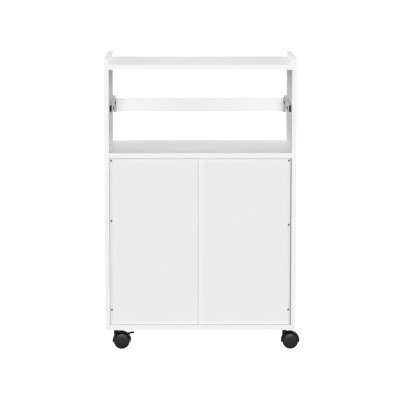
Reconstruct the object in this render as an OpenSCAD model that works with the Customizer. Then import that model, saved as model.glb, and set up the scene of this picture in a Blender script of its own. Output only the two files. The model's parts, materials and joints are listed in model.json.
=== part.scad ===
// Rolling microwave cart: an open bay over a two-door cabinet, on four twin-wheel casters.
// The doors face -Y, the back panel faces +Y, and the casters stand on z = 0.
// Everything is modelled about the middle of the cabinet and then moved by cart_x and cart_y,
// which puts the origin under the middle of the cart's whole footprint.

/* [Cart] */
// Overall width across the two side panels
cart_w = 600; // [520:1:760]
// Depth of the side panels and fixed shelves
cart_d = 400; // [380:1:480]
// Thickness of every coated board
board_t = 16; // [15:0.5:19]
// Clear height inside the cabinet
cabinet_h = 527; // [440:1:620]
// Clear height of the open bay above the cabinet
bay_h = 259; // [200:1:340]
// How far the side panels stand above the top shelf
lip_h = 19; // [5:1:40]

/* [Back panel] */
// Thickness of the hardboard back
back_t = 3; // [2.5:0.1:4]
// How far the back lies inside the rear edges of the side panels
back_recess = 8; // [4:0.5:12]
// Gap between the back and the left and the right side panel
back_gaps = [3.5, 1]; // [0.5:0.5:5]
// Gap above and below the back
back_end_gap = 0.5; // [0.2:0.1:1]
// Sideways place of the strip that joins the two halves of the back
strip_x = -3; // [-6:0.5:6]
// Width of the joint strip
strip_w = 15.6; // [12:0.2:20]
// Wall of the joint strip
strip_wall = 1.2; // [0.8:0.1:1.6]
// Width of the cleats behind the back's side edges
cleat_w = 14; // [12:1:18]
// Depth of the cleats
cleat_d = 12; // [10:1:16]
// How far the back's screws lie inside the left and the right side panel
back_screw_in = [8, 6]; // [5.5:0.5:9]
// How far the middle screws lie below the microwave shelf, left and right
back_screw_mid = [210, 198]; // [120:1:300]
// How far the top screws lie below the microwave shelf
back_screw_top = 8; // [6:1:20]
// How far the bottom screws lie above the bottom panel
back_screw_low = 48; // [20:1:80]

/* [Cabinet inside] */
// Gap from the adjustable shelf to the doors in front of it and to the cleats behind it
inner_shelf_clear = 15.5; // [8:0.5:30]
// Gap at each end of the adjustable shelf
inner_shelf_gap = 1.5; // [1:0.5:3]
// Height of the adjustable shelf's underside above the bottom panel
inner_shelf_h = 264; // [200:1:300]
// Radius of a shelf pin
pin_r = 2.5; // [2:0.25:3]
// How deep a shelf pin goes into its hole
pin_in = 9; // [7:0.5:11]
// How far a shelf pin stands out of the side panel
pin_out = 8; // [6:0.5:12]
// Distance of the shelf pins from the adjustable shelf's front and rear edges
pin_back = 55; // [40:1:80]
// Spacing of the pin holes, one above the other
pin_pitch = 32; // [25:1:36]
// Pin holes above and below the one in use
pin_spares = 2; // [1:1:3]

/* [Board joints] */
// Distance of the cam locks from the board's front and rear edges
cam_back = 104; // [98:1:120]
// Distance of the cam locks from the board's end
cam_in = 34; // [30:1:36]
// Radius of a cam lock
cam_r = 7.5; // [6.5:0.5:8]
// Height of a cam lock
cam_h = 12; // [11:0.5:12.5]
// Distance of the dowels from the board's front and rear edges
dowel_back = 74; // [68:1:84]
// Radius of a dowel
dowel_r = 4; // [3:0.5:4.5]
// Length of a dowel
dowel_l = 30; // [25:1:35]
// How deep a dowel goes into the side panel
dowel_in = 9; // [7:0.5:10]

/* [Doors] */
// Gap between the two doors
door_gap = 3; // [2:0.5:4]
// Gap above and below each door
door_end_gap = 2; // [1.5:0.5:3]
// Radius of a door knob
knob_r = 13; // [11:0.5:16]
// How far a knob stands out of its door
knob_l = 24; // [20:1:30]
// Distance of a knob from the door's free edge
knob_in = 32; // [25:1:45]
// Distance of a knob from the door's top edge
knob_drop = 84; // [50:1:140]

/* [Hinges] */
// Height of a hinge
hinge_h = 50; // [45:1:60]
// Distance of the hinges from the door's top and bottom edges
hinge_in = 65; // [50:1:90]
// Radius of a hinge barrel
barrel_r = 2.6; // [2.4:0.1:3]
// Radius of a hinge pin
hinge_pin_r = 1.3; // [1.1:0.1:1.4]
// Thickness of a hinge leaf
leaf_t = 1; // [0.8:0.1:1.1]
// Gap between the two leaves of a shut hinge
leaf_gap = 0.4; // [0.3:0.1:0.6]
// Width of a hinge leaf, from the pin
leaf_w = 15; // [13:0.5:17]
// Gap between two knuckles
knuckle_gap = 0.3; // [0.2:0.05:0.5]

/* [Door catches] */
// Distance of each catch from the middle of the cart
catch_x = 70; // [50:1:110]
// Width of a catch
catch_w = 40; // [36:1:50]
// Height of a catch
catch_h = 13; // [11:0.5:16]
// Depth of a catch
catch_d = 15; // [12:0.5:20]
// Wall of a catch's housing at each end of its magnet
catch_end_wall = 6; // [4:0.5:8]
// Wall of a catch's housing above and below its magnet
catch_wall = 3; // [2:0.25:4]
// Wall of a catch's housing behind its magnet
catch_back_wall = 5; // [3:0.5:7]
// How far a strike plate ends inside its catch, at each end
strike_in = 3; // [1:0.5:5]
// How far a strike plate ends inside its catch, above and below
strike_edge = 1.5; // [0.5:0.25:3]
// Thickness of the strike plate on the door
strike_t = 1.2; // [1:0.1:1.6]
// Gap between strike plate and magnet
catch_gap = 0.2; // [0.1:0.1:0.5]

/* [Pull-out rail] */
// Height of the rail's lower edge above the microwave shelf
rail_up = 93; // [70:1:110]
// Height of the rail
rail_h = 45; // [40:1:60]
// Gap at each end of the rail
rail_gap = 1.5; // [1:0.5:3]
// Wall of the rail brackets
bracket_t = 1.2; // [1:0.1:1.4]
// How far the bracket's lips reach over and under the rail
bracket_lip = 11; // [8:0.5:14]
// Length of the bracket's arm along the slide
bracket_arm = 30; // [26:1:32]
// Distance of the rivets from the arm's two ends
rivet_in = 10; // [7:0.5:10]
// Heights of the rail's screws above its lower edge
rail_screws_up = [7, 20]; // [5:1:34]

/* [Slides] */
// Height of a slide
slide_h = 27; // [26:0.5:30]
// Length of a slide
slide_l = 350; // [330:1:352]
// Height of the slide's middle above the rail's lower edge
slide_up = 43.5; // [42:0.5:50]
// Thickness of a slide, out from the side panel
slide_w = 9.4; // [9.4:0.1:10.4]
// Wall of the slide's members
slide_wall = 1.2; // [1:0.05:1.3]
// Places of the slide's screws, from its front end
slide_screws_at = [35, 163, 310]; // [34:1:320]
// Places of the release levers' middles, from the slide's front end
levers_at = [73, 273]; // [50:1:300]
// Radius of the balls
ball_r = 1.6; // [1.5:0.05:1.7]
// Distance of the balls from the side panel
ball_u = 5; // [4.9:0.1:5.1]
// Spacing of the balls along a cage
ball_pitch = 13; // [8:0.5:14]
// Balls in one row of a cage
ball_count = 8; // [4:1:8]
// How far the rail pulls out
rail_travel = 240; // [150:1:240]
// Length of the plastic buffer behind each slide
buffer_l = 7; // [5:0.5:9]

/* [Casters] */
// Height of the cart's underside above the floor
caster_h = 65; // [64:0.5:72]
// Distance of the swivels from the cart's sides
swivel_in = 34; // [32:1:44]
// Distance of the swivels from the cart's front and rear edges
swivel_back = 43; // [30:1:43]
// How far the wheels trail behind the swivel
trail = 18; // [17:0.5:20]
// Radius of a wheel
wheel_r = 25; // [24:0.5:25.5]
// Width of one wheel
wheel_w = 14; // [13:0.5:16]
// Width of the hood's web between the wheels
web_w = 14; // [12:0.5:16]
// Gap between wheel and hood
wheel_gap = 1; // [0.8:0.1:1.5]
// Radius of a hood, measured like the wheel's, from its axle
hood_r = 30; // [29.5:0.5:31]
// Radius of the hood's crown, across its width
hood_crown = 60; // [55:1:90]
// Height of the hood's lower edge
skirt_z = 20; // [18:0.5:22]
// How far each wheel stands out of its hood
wheel_proud = 4; // [3.5:0.5:6]
// Radius of the swivel boss
boss_r = 7.5; // [7:0.5:8.5]
// Radius of the kingpin
kingpin_r = 3.5; // [3:0.25:4]
// Radius of the axle
axle_r = 3; // [2.5:0.25:3.5]
// Side of the mounting plate
plate_w = 38; // [36:1:42]
// Thickness of the mounting plate
plate_t = 2; // [1.5:0.1:2.5]
// Distance of the plate's holes from its middle
plate_hole = 14; // [13:0.5:15]

/* [Brake pedals] */
// How far the pedal's pivot lies from the wheel's centre towards the swivel
pivot_in = 7; // [6.8:0.1:7.2]
// Height of the pedal's pivot above the wheel's centre
pivot_up = 28.5; // [28.3:0.1:28.9]
// How far the pedal turns down, in degrees
pedal_throw = 5; // [3.5:0.5:5.5]
// Width of the pedal's saddle, which lies in the hood's window
pedal_w = 26; // [22:1:27]
// Width of the pedal's lever
lever_w = 20; // [12:1:22]
// Reach of the lever's tip from the wheel's centre
pedal_reach = 39.5; // [37:0.5:42]
// Height of the lever's tip above the wheel's centre
pedal_up = 24.8; // [24:0.2:26]
// Thickness of the lever
pedal_t = 3.2; // [2.6:0.2:3.6]
// Radius of the pedal's pivot stubs
stub_r = 1.6; // [1.4:0.1:1.8]
// Gap between the pressed pedal and the tread
shoe_gap = 0.45; // [0.4:0.05:0.6]

/* [Fits] */
// Radial clearance where one piece turns on another
run_fit = 0.05; // [0.03:0.01:0.08]
// Radial clearance of a piece that stays where it is pushed
push_fit = 0.02; // [0.01:0.01:0.04]
// Radial clearance round a ball
ball_fit = 0.15; // [0.12:0.01:0.18]

/* [Hidden] */
$fn = 48;
cut = 1;                        // how far a cut starts outside its piece
round_fn = 32;

// Heights
bottom_z = caster_h;
cabinet_z = bottom_z + board_t;
shelf_z = cabinet_z + cabinet_h;
bay_z = shelf_z + board_t;
top_z = bay_z + bay_h;
side_top = top_z + board_t + lip_h;
fixed_boards = [bottom_z, shelf_z, top_z];

// Widths and depths
half_w = cart_w / 2;
inner_x = half_w - board_t;
front_y = -cart_d / 2;
rear_y = cart_d / 2;
cam_y = rear_y - cam_back;
dowel_y = rear_y - dowel_back;

// Back
back_y = rear_y - back_recess - back_t;
strip_play = 0.2;               // between the back's inner edge and the strip's web
back_screw_r = 1.6;
back_screw_head_r = 3;
back_screw_head_t = 1.4;
back_screw_l = 12;

// Adjustable shelf
inner_shelf_z = cabinet_z + inner_shelf_h;
inner_shelf_y0 = front_y + board_t + inner_shelf_clear;
inner_shelf_y1 = back_y - cleat_d - inner_shelf_clear;
pin_ys = [inner_shelf_y0 + pin_back, inner_shelf_y1 - pin_back];
pin_z = inner_shelf_z - pin_r - run_fit;
pin_collar_r = pin_r + 1.3;
pin_collar_t = 1;

// Cam locks and their bolts
bolt_thread_r = 2.5;
bolt_thread_l = 10;
bolt_flange_r = 3.7;
bolt_flange_t = 1;
bolt_neck_r = 1.8;
bolt_head_r = 3;
bolt_head_t = 3;
bolt_bore_r = 4;
cam_bore_r = 3.4;
cam_slot = [2, 10, 2.5];

// Doors
door_z0 = cabinet_z + door_end_gap;
door_z1 = shelf_z - door_end_gap;
hinge_gap = 2 * leaf_t + leaf_gap;
door_x0 = door_gap / 2;
door_x1 = inner_x - hinge_gap;
door_rear = front_y + board_t;
knob_x = door_x0 + knob_in;
knob_z = door_z1 - knob_drop;
knob_neck_r = 6.5;
knob_base_r = 11;
knob_base_t = 2.4;
knob_head_t = 10.8;
knob_edge = 5.3;                // of the knob's head that is rounded off
knob_screw_r = 2;
knob_screw_in = 10;
knob_screw_head_r = 4;
knob_screw_head_t = 2;

// Hinges
hinge_x = inner_x - hinge_gap / 2;
hinge_y = front_y - barrel_r - knuckle_gap;
hinge_zs = [door_z0 + hinge_in, door_z1 - hinge_in - hinge_h];
knuckle_h = (hinge_h - 2 * knuckle_gap) / 3;
leaf_screw_r = 1.3;
leaf_screw_head_r = 2.6;
leaf_screw_l = 13;
leaf_screw_end = 9;
leaf_screw_y = hinge_y + leaf_w - 4.5;
pin_tip_r = hinge_pin_r + 0.8;
pin_tip_h = 1.2;

// Catches
strike_y = door_rear + strike_t;
strike_w = catch_w - 2 * strike_in;
strike_h = catch_h - 2 * strike_edge;
catch_y = strike_y + catch_gap;
magnet_w = catch_w - 2 * catch_end_wall;
magnet_h = catch_h - 2 * catch_wall;
magnet_d = catch_d - catch_back_wall;
strike_screw_r = 1.3;
strike_screw_head_r = 2.4;
strike_screw_l = 9;

// Rail and its brackets
rail_z0 = bay_z + rail_up;
rail_z1 = rail_z0 + rail_h;
rail_end = inner_x - rail_gap;
rail_rear = front_y + board_t;
bracket_web_u = slide_w + bracket_t;
bracket_arm_h = 14;
rail_screw_r = 1.5;
rail_screw_head_r = 2.6;
rail_screw_head_t = 1.2;
rail_screw_l = 11;
rail_screw_zs = [for (up = rail_screws_up) rail_z0 + up];
rivet_r = 1.5;
rivet_head_r = 2.6;
rivet_head_t = 0.6;

// Slides, as u out from the side panel and v up from the slide's middle
slide_z = rail_z0 + slide_up;
slide_y0 = rail_rear + 2 * bracket_t + rail_screw_head_t;
slide_y1 = slide_y0 + slide_l;
half_h = slide_h / 2;
ball_v = half_h - slide_wall - ball_r - ball_fit;
race_r = ball_r + ball_fit;
inner_v = ball_v - ball_r;
inner_race_side = 1.8;
inner_u0 = ball_u - inner_race_side;
cage_t = 0.8;
cage_gap = 0.3;
cage_u = slide_wall + cage_gap + 0.1;
cage_lip = 0.5;                 // of the cage, past the ball's hole
cage_end = 7.5;                 // of the cage, past its last ball's middle
race_clear = cage_t / 2 + cage_gap;
race_side = 2.2;
lip_t = 1.2;
lip_u = slide_w - lip_t - 0.2;
lip_v = inner_v + 0.6;
buffer_gap = 0.3;
inner_l = slide_l - buffer_l - buffer_gap;
cage_l = (ball_count - 1) * ball_pitch + 2 * cage_end;
cage_y0 = slide_y0 + rail_travel / 2 + 2;
slide_screw_r = 1.5;
slide_screw_head_r = 2.6;
slide_screw_l = 13;
slide_screw_ys = [for (at = slide_screws_at) slide_y0 + at];
screw_access = 0.6;             // round a screw's head, in the travelling member
lever_l = 30;
lever_h = 9;
lever_t = 1.8;
lever_ys = [for (at = levers_at) slide_y0 + at];

// Casters
swivel_x = half_w - swivel_in;
swivel_y = rear_y - swivel_back;
plate_z = caster_h - plate_t;
boss_gap = 0.5;
kingpin_up = 15;                // of the kingpin's foot, over the axle
kingpin_z = wheel_r + kingpin_up;
hood_w = web_w + 2 * wheel_gap + 2 * wheel_w - 2 * wheel_proud;
wheel_y = web_w / 2 + wheel_gap;
well_r = wheel_r + wheel_gap + 0.3;
hub_r = 7;
rim_t = 3;
disc_t = 4.5;
groove_w = 0.8;
groove_d = 0.8;
dome_h = 1.5;
dome_steps = 8;
tread_round = 2;
rib_count = 6;
rib_t = 1.6;
rib_sink = 0.5;                 // of a rib into the hub and the rim, and under the open side
pocket_wall = 1;                // of the web, between its openings and its hub
axle_blind = 3;
plate_round = 5;
plate_screw_r = 1.9;
plate_screw_head_r = 3.5;
plate_screw_head_t = 1.2;
plate_screw_l = 14;
window_gap = 0.5;
window_angles = [34, 111];
window_foot = 0.5;              // how far the window reaches under the tread's radius
pedal_pivot = [-pivot_in, pivot_up];
shoe_angle = 40.5;              // where the pressed saddle's end meets the tread
shoe = turned((wheel_r + shoe_gap) * [cos(shoe_angle), sin(shoe_angle)], pedal_pivot, pedal_throw);
saddle_r0 = norm(shoe);
saddle_angles = [atan2(shoe[1], shoe[0]), 100];
pedal_boss_r = stub_r + 1.1;
stub_l = 2.2;
stub_reach = pedal_w / 2 + window_gap + stub_l;
ear_wall = 0.8;

// The cart's place over the origin
hood_overhang = max(0, trail + hood_r - swivel_in);
cart_x = hood_overhang / 2;
cart_y = knob_l / 2;

// Colours
board_c = [0.95, 0.95, 0.95];
back_c = [0.92, 0.91, 0.9];
zinc_c = [0.6, 0.61, 0.62];
steel_c = [0.75, 0.75, 0.76];
black_c = [0.06, 0.06, 0.06];
wheel_c = [0.16, 0.16, 0.16];
wood_c = [0.8, 0.68, 0.5];
plastic_c = [0.93, 0.93, 0.93];
dark_c = [0.25, 0.25, 0.26];

CASTERS = [
    ["front_left", -1, -1, false],
    ["front_right", 1, -1, true],
    ["rear_left", -1, 1, false],
    ["rear_right", 1, 1, true]
];

// ---------------------------------------------------------------- helpers

// A point turned about a centre
function turned(point, centre, angle) = centre + [
    (point - centre) * [cos(angle), -sin(angle)],
    (point - centre) * [sin(angle), cos(angle)]
];

// A block between two corners
module block(low, high) {
    translate(low) cube(high - low);
}

// Its children moved to where the cart stands over the origin
module placed() {
    translate([cart_x, cart_y, 0]) children();
}

// Its children as modelled for the right side, or mirrored for the left
module on_side(side) {
    if (side > 0)
        children();
    else
        mirror([1, 0, 0]) children();
}

// A rod along X from x0 to x1, through a point [y, z]
module rod_x(r, x0, x1, yz) {
    translate([x0, yz[0], yz[1]]) rotate([0, 90, 0]) cylinder(r = r, h = x1 - x0);
}

// A rod along Y from y0 to y1, through a point [x, z]
module rod_y(r, y0, y1, xz) {
    translate([xz[0], y0, xz[1]]) rotate([-90, 0, 0]) cylinder(r = r, h = y1 - y0);
}

// A flat-headed screw along +Z, with its head's face at z = 0
module flat_screw(r, head_r, head_t, l) {
    cylinder(r1 = head_r, r2 = r, h = head_t);
    cylinder(r = r, h = l - r);
    translate([0, 0, l - r]) cylinder(r1 = r, r2 = r / 4, h = r);
}

// A round-edged pan-headed screw along +Z, whose head lies below z = 0
module pan_screw(r, head_r, head_t, l) {
    difference() {
        translate([0, 0, -head_t]) {
            cylinder(r1 = 0.75 * head_r, r2 = head_r, h = head_t / 2);
            translate([0, 0, head_t / 2]) cylinder(r = head_r, h = head_t / 2);
        }
        for (turn = [0, 90])
            rotate([0, 0, turn])
                translate([-0.6 * head_r, -0.1 * head_r, -head_t - cut])
                    cube([1.2 * head_r, 0.2 * head_r, cut + 0.6 * head_t]);
    }
    cylinder(r = r, h = l - r);
    translate([0, 0, l - r]) cylinder(r1 = r, r2 = r / 4, h = r);
}

// A square with rounded corners, centred
module soft_square(w, r) {
    square([w, w - 2 * r], center = true);
    square([w - 2 * r, w], center = true);
    for (x = [-1, 1], y = [-1, 1])
        translate([x, y] * (w / 2 - r)) circle(r = r);
}

// ---------------------------------------------------------------- boards

// One side panel with the holes for its joints, pins, hinges and slide, right side
module side_panel() {
    color(board_c) difference() {
        block([inner_x, front_y, bottom_z], [half_w, rear_y, side_top]);
        for (z = fixed_boards, y = [-1, 1]) {
            rod_x(bolt_thread_r + push_fit, inner_x - cut, inner_x + bolt_thread_l + push_fit,
                [y * cam_y, z + board_t / 2]);
            rod_x(dowel_r + push_fit, inner_x - cut, inner_x + dowel_in + push_fit,
                [y * dowel_y, z + board_t / 2]);
        }
        for (y = pin_ys, i = [-pin_spares : pin_spares])
            rod_x(pin_r + push_fit, inner_x - cut, inner_x + pin_in + push_fit,
                [y, pin_z + i * pin_pitch]);
        for (y = slide_screw_ys)
            rod_x(slide_screw_r + push_fit, inner_x - cut, inner_x + slide_screw_l - slide_wall,
                [y, slide_z]);
        for (z = hinge_zs, dz = [leaf_screw_end, hinge_h - leaf_screw_end])
            rod_x(leaf_screw_r + push_fit, inner_x - cut, inner_x + leaf_screw_l - leaf_t,
                [leaf_screw_y, z + dz]);
    }
}

// One fixed board between the side panels, with its cam lock and dowel holes
module fixed_board(z) {
    color(board_c) difference() {
        block([-inner_x, front_y, z], [inner_x, rear_y, z + board_t]);
        for (side = [-1, 1], y = [-1, 1])
            on_side(side) {
                translate([inner_x - cam_in, y * cam_y, z - cut])
                    cylinder(r = cam_r + push_fit, h = cam_h + push_fit + cut);
                rod_x(bolt_bore_r, inner_x - cam_in, inner_x + cut, [y * cam_y, z + board_t / 2]);
                rod_x(dowel_r + push_fit, inner_x - dowel_l + dowel_in - push_fit, inner_x + cut,
                    [y * dowel_y, z + board_t / 2]);
            }
        children();
    }
}

module top_shelf() {
    fixed_board(top_z);
}

// The microwave shelf, with pilot holes for the catches under it
module microwave_shelf() {
    fixed_board(shelf_z);
}

// The bottom panel, with pilot holes for the caster screws
module bottom_panel() {
    fixed_board(bottom_z)
        for (c = CASTERS)
            at_swivel(c)
                plate_corners()
                    translate([0, 0, bottom_z - cut])
                        cylinder(r = plate_screw_r + push_fit, h = cut + plate_screw_l - plate_t);
}

// ---------------------------------------------------------------- back

// Half of the hardboard back: its side edge lies near a side panel, the other in the strip
module back_panel(side, gap, screw_in, mid_drop) {
    near_x = side * strip_x + strip_wall / 2 + strip_play;
    color(back_c) on_side(side) difference() {
        block([near_x, back_y, cabinet_z + back_end_gap],
            [inner_x - gap, back_y + back_t, shelf_z - back_end_gap]);
        for (z = back_screw_heights(mid_drop))
            rod_y(back_screw_r + push_fit, back_y - cut, back_y + back_t + cut,
                [inner_x - screw_in, z]);
    }
}

function back_screw_heights(mid_drop) = [
    cabinet_z + back_screw_low,
    shelf_z - mid_drop,
    shelf_z - back_screw_top
];

// The H-section strip that holds the two halves edge to edge
module back_joint_strip() {
    slot = back_t + 2 * push_fit;
    color(plastic_c)
        translate([strip_x, back_y + back_t / 2, cabinet_z + back_end_gap])
            linear_extrude(height = cabinet_h - 2 * back_end_gap) {
                square([strip_wall, slot + strip_wall], center = true);
                for (s = [-1, 1])
                    translate([0, s * (slot + strip_wall) / 2])
                        square([strip_w, strip_wall], center = true);
            }
}

// The two upright cleats that the back is screwed to
module back_cleats() {
    color(board_c) for (i = [0, 1])
        on_side(2 * i - 1) difference() {
            block([inner_x - cleat_w, back_y - cleat_d, cabinet_z + back_end_gap],
                [inner_x, back_y, shelf_z - back_end_gap]);
            for (z = back_screw_heights(back_screw_mid[i]))
                rod_y(back_screw_r + push_fit, back_y - back_screw_l + back_t, back_y + cut,
                    [inner_x - back_screw_in[i], z]);
        }
}

module back_panel_screws() {
    color(dark_c) for (i = [0, 1], z = back_screw_heights(back_screw_mid[i]))
        on_side(2 * i - 1)
            translate([inner_x - back_screw_in[i], back_y + back_t, z])
                rotate([90, 0, 0])
                    pan_screw(back_screw_r, back_screw_head_r, back_screw_head_t, back_screw_l);
}

// ---------------------------------------------------------------- cabinet inside

module adjustable_shelf() {
    w = inner_x - inner_shelf_gap;
    color(board_c)
        block([-w, inner_shelf_y0, inner_shelf_z], [w, inner_shelf_y1, inner_shelf_z + board_t]);
}

module shelf_pins() {
    color(steel_c) for (side = [-1, 1], y = pin_ys)
        on_side(side) {
            at = [y, pin_z];
            rod_x(pin_r, inner_x - pin_out, inner_x + pin_in, at);
            intersection() {
                rod_x(pin_collar_r, inner_x - pin_collar_t, inner_x, at);
                block([0, front_y, 0], [half_w, rear_y, inner_shelf_z - run_fit]);
            }
        }
}

// Its children at each place where a fixed board meets a side panel, in the board's middle
module at_board_ends(y) {
    for (side = [-1, 1], z = fixed_boards, s = [-1, 1])
        on_side(side) translate([inner_x, s * y, z + board_t / 2]) children();
}

// Cam locks, each with a cross slot and a hole for its bolt's head
module cam_locks() {
    color(zinc_c) at_board_ends(cam_y)
        translate([-cam_in, 0, -board_t / 2]) difference() {
            cylinder(r = cam_r, h = cam_h);
            rod_x(cam_bore_r, -cam_r / 3, cam_r + cut, [0, board_t / 2]);
            for (turn = [0, 90])
                rotate([0, 0, turn])
                    translate([-cam_slot[1] / 2, -cam_slot[0] / 2, -cut])
                        cube([cam_slot[1], cam_slot[0], cam_slot[2] + cut]);
        }
}

module cam_bolts() {
    head_x = -cam_in - cam_r / 3 + push_fit;
    color(steel_c) at_board_ends(cam_y) {
        rod_x(bolt_thread_r, 0, bolt_thread_l, [0, 0]);
        rod_x(bolt_flange_r, -bolt_flange_t, 0, [0, 0]);
        rod_x(bolt_neck_r, head_x, -bolt_flange_t, [0, 0]);
        rod_x(bolt_head_r, head_x, head_x + bolt_head_t, [0, 0]);
    }
}

module wood_dowels() {
    color(wood_c) at_board_ends(dowel_y)
        rod_x(dowel_r, dowel_in - dowel_l, dowel_in, [0, 0]);
}

// ---------------------------------------------------------------- doors, right door

module door() {
    color(board_c) difference() {
        block([door_x0, front_y, door_z0], [door_x1, door_rear, door_z1]);
        rod_y(knob_screw_r + run_fit, front_y - cut, door_rear + cut, [knob_x, knob_z]);
        for (z = hinge_zs, dz = [leaf_screw_end, hinge_h - leaf_screw_end])
            rod_x(leaf_screw_r + push_fit, door_x1 - leaf_screw_l + leaf_t, door_x1 + cut,
                [leaf_screw_y, z + dz]);
        rod_y(strike_screw_r + push_fit, door_rear - strike_screw_l + strike_t, door_rear + cut,
            [catch_x, shelf_z - catch_h / 2 - door_end_gap]);
    }
}

// Turned knob: a dished, rounded head on a waisted neck
module knob() {
    head_z = knob_l - knob_head_t;
    color(steel_c) translate([knob_x, front_y, knob_z]) rotate([90, 0, 0])
        rotate_extrude() difference() {
            union() {
                square([knob_neck_r, head_z]);
                square([knob_base_r, knob_base_t]);
                translate([0, head_z]) square([knob_r - knob_edge, knob_head_t]);
                intersection() {
                    translate([knob_r - knob_edge, knob_l - knob_head_t / 2])
                        circle(r = knob_head_t / 2);
                    translate([0, head_z]) square([knob_r, knob_head_t]);
                }
            }
            translate([-cut, -cut]) square([knob_screw_r + push_fit + cut, knob_screw_in + cut]);
        }
}

// Screws of the knob, the strike plate and the door's hinge leaves
module door_screws() {
    color(zinc_c) {
        translate([knob_x, door_rear, knob_z]) rotate([90, 0, 0])
            pan_screw(knob_screw_r, knob_screw_head_r, knob_screw_head_t,
                board_t + knob_screw_in - knob_screw_r);
        for (z = hinge_zs, dz = [leaf_screw_end, hinge_h - leaf_screw_end])
            translate([door_x1 + leaf_t, leaf_screw_y, z + dz]) rotate([0, -90, 0])
                flat_screw(leaf_screw_r, leaf_screw_head_r, leaf_t, leaf_screw_l);
        translate([catch_x, strike_y, shelf_z - catch_h / 2 - door_end_gap]) rotate([90, 0, 0])
            flat_screw(strike_screw_r, strike_screw_head_r, strike_t, strike_screw_l);
    }
}

module strike_plate() {
    z = shelf_z - catch_h / 2 - door_end_gap;
    color(steel_c) difference() {
        block([catch_x - strike_w / 2, door_rear, z - strike_h / 2],
            [catch_x + strike_w / 2, strike_y, z + strike_h / 2]);
        translate([catch_x, strike_y, z]) rotate([90, 0, 0])
            flat_screw(strike_screw_r + push_fit, strike_screw_head_r + push_fit, strike_t,
                strike_screw_l);
    }
}

// ---------------------------------------------------------------- hinges, right side

// One leaf at height z. mine lists the knuckles, counted from below, that belong to it, and its
// screws start at screw_x and point to the side panel (1) or to the door (-1)
module hinge_leaf(z, x0, mine, screw_x, screw_side) {
    color(steel_c) difference() {
        union() {
            block([x0, front_y + knuckle_gap, z], [x0 + leaf_t, hinge_y + leaf_w, z + hinge_h]);
            for (i = mine)
                translate([0, 0, z + i * (knuckle_h + knuckle_gap)]) {
                    translate([hinge_x, hinge_y, 0]) cylinder(r = barrel_r, h = knuckle_h);
                    block([x0, hinge_y, 0], [x0 + leaf_t, front_y + knuckle_gap, knuckle_h]);
                }
        }
        for (dz = [leaf_screw_end, hinge_h - leaf_screw_end])
            translate([screw_x, leaf_screw_y, z + dz]) rotate([0, screw_side * 90, 0])
                flat_screw(leaf_screw_r + push_fit, leaf_screw_head_r + push_fit, leaf_t,
                    leaf_screw_l);
        translate([hinge_x, hinge_y, z - cut])
            cylinder(r = hinge_pin_r + (len(mine) > 1 ? push_fit : run_fit), h = hinge_h + 2 * cut);
    }
}

module hinge_frame_leaves() {
    for (side = [-1, 1], z = hinge_zs)
        on_side(side) hinge_leaf(z, inner_x - leaf_t, [0, 2], inner_x - leaf_t, 1);
}

module hinge_door_leaves() {
    for (z = hinge_zs)
        hinge_leaf(z, door_x1, [1], door_x1 + leaf_t, -1);
}

// Hinge pins, with a rounded tip above and below the barrel
module hinge_pins() {
    color(steel_c) for (side = [-1, 1], z = hinge_zs)
        on_side(side) translate([hinge_x, hinge_y, z]) {
            cylinder(r = hinge_pin_r, h = hinge_h);
            translate([0, 0, hinge_h]) cylinder(r1 = pin_tip_r, r2 = pin_tip_r / 2, h = pin_tip_h);
            translate([0, 0, -pin_tip_h]) cylinder(r1 = pin_tip_r / 2, r2 = pin_tip_r, h = pin_tip_h);
        }
}

module hinge_frame_screws() {
    color(zinc_c)
        for (side = [-1, 1], z = hinge_zs, dz = [leaf_screw_end, hinge_h - leaf_screw_end])
            on_side(side) translate([inner_x - leaf_t, leaf_screw_y, z + dz]) rotate([0, 90, 0])
                flat_screw(leaf_screw_r, leaf_screw_head_r, leaf_t, leaf_screw_l);
}

// ---------------------------------------------------------------- catches

module catch_housings() {
    z = shelf_z - catch_h / 2;
    color(plastic_c) for (side = [-1, 1])
        on_side(side) difference() {
            block([catch_x - catch_w / 2, catch_y, shelf_z - catch_h],
                [catch_x + catch_w / 2, catch_y + catch_d, shelf_z]);
            block([catch_x - magnet_w / 2 - push_fit, catch_y - cut, z - magnet_h / 2 - push_fit],
                [catch_x + magnet_w / 2 + push_fit, catch_y + magnet_d, z + magnet_h / 2 + push_fit]);
        }
}

module catch_magnets() {
    z = shelf_z - catch_h / 2;
    color(dark_c) for (side = [-1, 1])
        on_side(side)
            block([catch_x - magnet_w / 2, catch_y, z - magnet_h / 2],
                [catch_x + magnet_w / 2, catch_y + magnet_d, z + magnet_h / 2]);
}

// ---------------------------------------------------------------- slides, right side

// Its children, drawn as [u, v], run along Y between y0 and y1 on the right side panel
module along_slide(y0, y1) {
    translate([inner_x, y1, slide_z]) rotate([90, 0, 0])
        linear_extrude(height = y1 - y0) mirror([1, 0]) children();
}

// Section of the member on the side panel: a channel with ball races and turned-in lips
module outer_section() {
    translate([0, -half_h]) square([slide_wall, slide_h]);
    for (s = [0, 1])
        mirror([0, s]) difference() {
            union() {
                translate([0, half_h - slide_wall]) square([lip_u + lip_t, slide_wall]);
                translate([lip_u, lip_v]) square([lip_t, half_h - lip_v]);
                translate([ball_u - race_side, ball_v + race_clear])
                    square([2 * race_side, half_h - ball_v - race_clear]);
            }
            translate([ball_u, ball_v]) circle(r = race_r);
        }
}

// Section of the member that travels: a smaller channel, open to the side panel
module inner_section() {
    translate([slide_w - slide_wall, -inner_v]) square([slide_wall, 2 * inner_v]);
    for (s = [0, 1])
        mirror([0, s]) difference() {
            union() {
                translate([inner_u0, inner_v - slide_wall]) square([slide_w - inner_u0, slide_wall]);
                translate([inner_u0, inner_v])
                    square([2 * inner_race_side, ball_v - race_clear - inner_v]);
            }
            translate([ball_u, ball_v]) circle(r = race_r);
        }
}

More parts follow.
